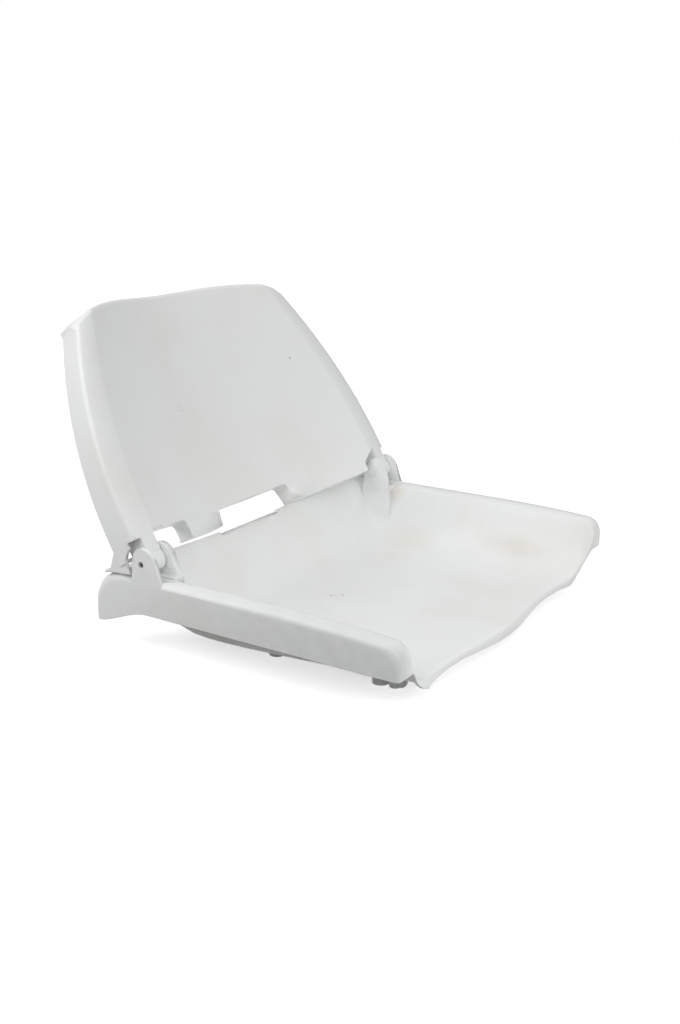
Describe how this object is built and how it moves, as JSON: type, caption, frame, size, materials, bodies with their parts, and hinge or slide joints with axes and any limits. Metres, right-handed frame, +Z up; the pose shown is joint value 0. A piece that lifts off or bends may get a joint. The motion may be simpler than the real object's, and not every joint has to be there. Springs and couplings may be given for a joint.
{
  "type": "folding boat seat",
  "caption": "Moulded tub seat whose curved backrest leans back on the pan's shoulders and folds forward over the seat on hinge pins.",
  "frame": {"origin": "centre of the pedestal bolt pattern, on the plane of the boss faces under the seat pan", "axes": "+X across the seat to the sitter's left, -Y to the front edge, +Z up from the boss faces"},
  "size_m": [0.483, 0.5025, 0.3436],
  "materials": {
    "white_plastic": "satin white, injection moulded, lightly soiled",
    "pin_steel": "plain stainless pin",
    "insert_brass": "plain machined brass"
  },
  "bodies": {
    "seat": {"seat_pan": "white_plastic", "hinge_pin_right": "pin_steel", "hinge_pin_left": "pin_steel", "pedestal_insert_front_right": "insert_brass", "pedestal_insert_front_left": "insert_brass", "pedestal_insert_rear_right": "insert_brass", "pedestal_insert_rear_left": "insert_brass", "bracket_insert_front_right": "insert_brass", "bracket_insert_front_left": "insert_brass", "bracket_insert_rear_right": "insert_brass", "bracket_insert_rear_left": "insert_brass"},
    "back": {"backrest": "white_plastic"}
  },
  "joints": [
    {"name": "backrest_fold", "type": "hinge", "parent": "seat", "child": "back", "pos_m": [0, 0.1718, 0.1018], "axis": [1, 0, 0], "range_deg": [0, 119]}
  ]
}
